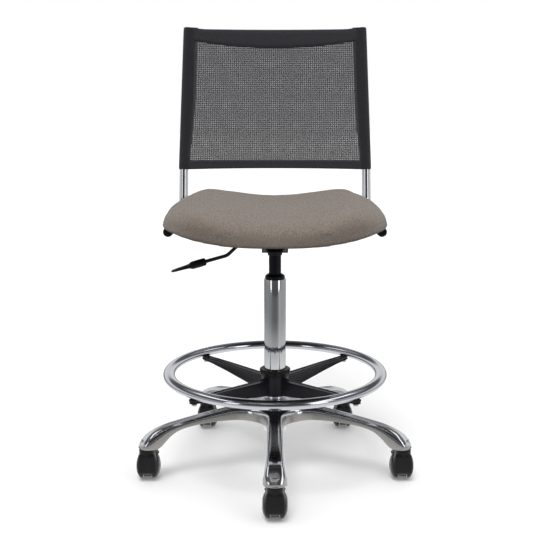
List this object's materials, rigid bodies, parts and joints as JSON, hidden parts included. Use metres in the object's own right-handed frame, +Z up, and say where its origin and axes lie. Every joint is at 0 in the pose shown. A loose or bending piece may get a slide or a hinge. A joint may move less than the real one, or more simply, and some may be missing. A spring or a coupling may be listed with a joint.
{
  "type": "drafting chair",
  "caption": "Tall swivel drafting chair: upholstered seat, mesh back on a bent tube frame, gas column, sliding foot ring and a star base on twin-wheel casters.",
  "frame": {"origin": "point on the floor under the gas column's axis, at the middle of the chair's footprint", "axes": "+Z up; the sitter faces -Y; +X to the right as seen from the front"},
  "size_m": [0.635, 0.6438, 1.0347],
  "materials": {
    "polished_aluminium": "mirror-polished die-cast aluminium",
    "chrome": "bright chrome plate on steel tube",
    "steel": "zinc-plated or ground steel",
    "black_steel": "black powder coat",
    "black_plastic": "finely textured black nylon",
    "tread": "hard black nylon wheel, slightly glossy",
    "plywood": "unfinished moulded plywood",
    "seat_fabric": "taupe woven upholstery",
    "back_fabric": "charcoal open mesh with woven borders"
  },
  "bodies": {
    "base": {"base_star": "polished_aluminium", "column_tube": "chrome", "column_bush": "black_plastic", "thrust_bearing": "steel"},
    "spindle": {"rod_clip": "steel", "piston_rod": "steel", "piston": "black_plastic"},
    "seat": {"gas_cylinder": "black_steel", "taper_socket": "black_steel", "mechanism_channel": "black_steel", "mounting_plate": "black_steel", "seat_screw_1": "steel", "seat_screw_2": "steel", "seat_screw_3": "steel", "seat_screw_4": "steel", "seat_pan": "plywood", "seat_cushion": "seat_fabric", "back_frame": "chrome", "tube_plug_left": "black_plastic", "tube_plug_right": "black_plastic", "back_mesh": "back_fabric"},
    "lever": {"lever_rod": "black_steel", "lever_grip": "black_plastic"},
    "button": {"release_button": "steel"},
    "ring": {"foot_ring": "chrome", "ring_hub": "black_plastic", "ring_collet": "black_plastic", "spoke_screw_1": "steel", "spoke_screw_2": "steel", "spoke_screw_3": "steel", "spoke_screw_4": "steel"},
    "collar": {"ring_collar": "black_plastic"},
    "caster_front": {"caster_hood_front": "black_plastic", "caster_stem_front": "steel", "caster_axle_front": "steel"},
    "wheel_front_left": {"wheel_front_left": "tread"},
    "wheel_front_right": {"wheel_front_right": "tread"},
    "caster_right": {"caster_hood_right": "black_plastic", "caster_stem_right": "steel", "caster_axle_right": "steel"},
    "wheel_right_left": {"wheel_right_left": "tread"},
    "wheel_right_right": {"wheel_right_right": "tread"},
    "caster_rear_right": {"caster_hood_rear_right": "black_plastic", "caster_stem_rear_right": "steel", "caster_axle_rear_right": "steel"},
    "wheel_rear_right_left": {"wheel_rear_right_left": "tread"},
    "wheel_rear_right_right": {"wheel_rear_right_right": "tread"},
    "caster_rear_left": {"caster_hood_rear_left": "black_plastic", "caster_stem_rear_left": "steel", "caster_axle_rear_left": "steel"},
    "wheel_rear_left_left": {"wheel_rear_left_left": "tread"},
    "wheel_rear_left_right": {"wheel_rear_left_right": "tread"},
    "caster_left": {"caster_hood_left": "black_plastic", "caster_stem_left": "steel", "caster_axle_left": "steel"},
    "wheel_left_left": {"wheel_left_left": "tread"},
    "wheel_left_right": {"wheel_left_right": "tread"}
  },
  "joints": [
    {"name": "seat_swivel", "type": "hinge", "parent": "base", "child": "spindle", "pos_m": [0, 0, 0.088], "axis": [0, 0, 1], "continuous": true},
    {"name": "seat_lift", "type": "slide", "parent": "spindle", "child": "seat", "axis": [0, 0, 1], "range_m": [0, 0.25]},
    {"name": "lever_lift", "type": "hinge", "parent": "seat", "child": "lever", "pos_m": [-0.02775, 0, 0.55], "axis": [0, 1, 0], "range_deg": [0, 8], "stiffness_Nm_per_rad": 0.6, "springref_deg": -14.32},
    {"name": "button_press", "type": "slide", "parent": "seat", "child": "button", "axis": [0, 0, 1], "range_m": [-0.0045, 0]},
    {"name": "ring_height", "type": "slide", "parent": "base", "child": "ring", "axis": [0, 0, 1], "range_m": [-0.015, 0.14]},
    {"name": "collar_twist", "type": "hinge", "parent": "ring", "child": "collar", "pos_m": [0, 0, 0.2278], "axis": [0, 0, 1], "range_deg": [0, 60]},
    {"name": "swivel_front", "type": "hinge", "parent": "base", "child": "caster_front", "pos_m": [0, -0.3055, 0.0812], "axis": [0, 0, 1], "continuous": true},
    {"name": "spin_front_left", "type": "hinge", "parent": "caster_front", "child": "wheel_front_left", "pos_m": [0, -0.2855, 0.03], "axis": [1, 0, 0], "continuous": true},
    {"name": "spin_front_right", "type": "hinge", "parent": "caster_front", "child": "wheel_front_right", "pos_m": [0, -0.2855, 0.03], "axis": [1, 0, 0], "continuous": true},
    {"name": "swivel_right", "type": "hinge", "parent": "base", "child": "caster_right", "pos_m": [0.29055, -0.09441, 0.0812], "axis": [0, 0, 1], "continuous": true},
    {"name": "spin_right_left", "type": "hinge", "parent": "caster_right", "child": "wheel_right_left", "pos_m": [0.29055, -0.0744, 0.03], "axis": [1, 0, 0], "continuous": true},
    {"name": "spin_right_right", "type": "hinge", "parent": "caster_right", "child": "wheel_right_right", "pos_m": [0.29055, -0.0744, 0.03], "axis": [1, 0, 0], "continuous": true},
    {"name": "swivel_rear_right", "type": "hinge", "parent": "base", "child": "caster_rear_right", "pos_m": [0.17957, 0.24716, 0.0812], "axis": [0, 0, 1], "continuous": true},
    {"name": "spin_rear_right_left", "type": "hinge", "parent": "caster_rear_right", "child": "wheel_rear_right_left", "pos_m": [0.17957, 0.26715, 0.03], "axis": [1, 0, 0], "continuous": true},
    {"name": "spin_rear_right_right", "type": "hinge", "parent": "caster_rear_right", "child": "wheel_rear_right_right", "pos_m": [0.17957, 0.26715, 0.03], "axis": [1, 0, 0], "continuous": true},
    {"name": "swivel_rear_left", "type": "hinge", "parent": "base", "child": "caster_rear_left", "pos_m": [-0.17957, 0.24716, 0.0812], "axis": [0, 0, 1], "continuous": true},
    {"name": "spin_rear_left_left", "type": "hinge", "parent": "caster_rear_left", "child": "wheel_rear_left_left", "pos_m": [-0.17957, 0.26715, 0.03], "axis": [1, 0, 0], "continuous": true},
    {"name": "spin_rear_left_right", "type": "hinge", "parent": "caster_rear_left", "child": "wheel_rear_left_right", "pos_m": [-0.17957, 0.26715, 0.03], "axis": [1, 0, 0], "continuous": true},
    {"name": "swivel_left", "type": "hinge", "parent": "base", "child": "caster_left", "pos_m": [-0.29055, -0.09441, 0.0812], "axis": [0, 0, 1], "continuous": true},
    {"name": "spin_left_left", "type": "hinge", "parent": "caster_left", "child": "wheel_left_left", "pos_m": [-0.29055, -0.0744, 0.03], "axis": [1, 0, 0], "continuous": true},
    {"name": "spin_left_right", "type": "hinge", "parent": "caster_left", "child": "wheel_left_right", "pos_m": [-0.29055, -0.0744, 0.03], "axis": [1, 0, 0], "continuous": true}
  ],
  "couplings": [
    {"joint": "button_press", "follows": "lever_lift", "m_per_rad": -0.03}
  ]
}
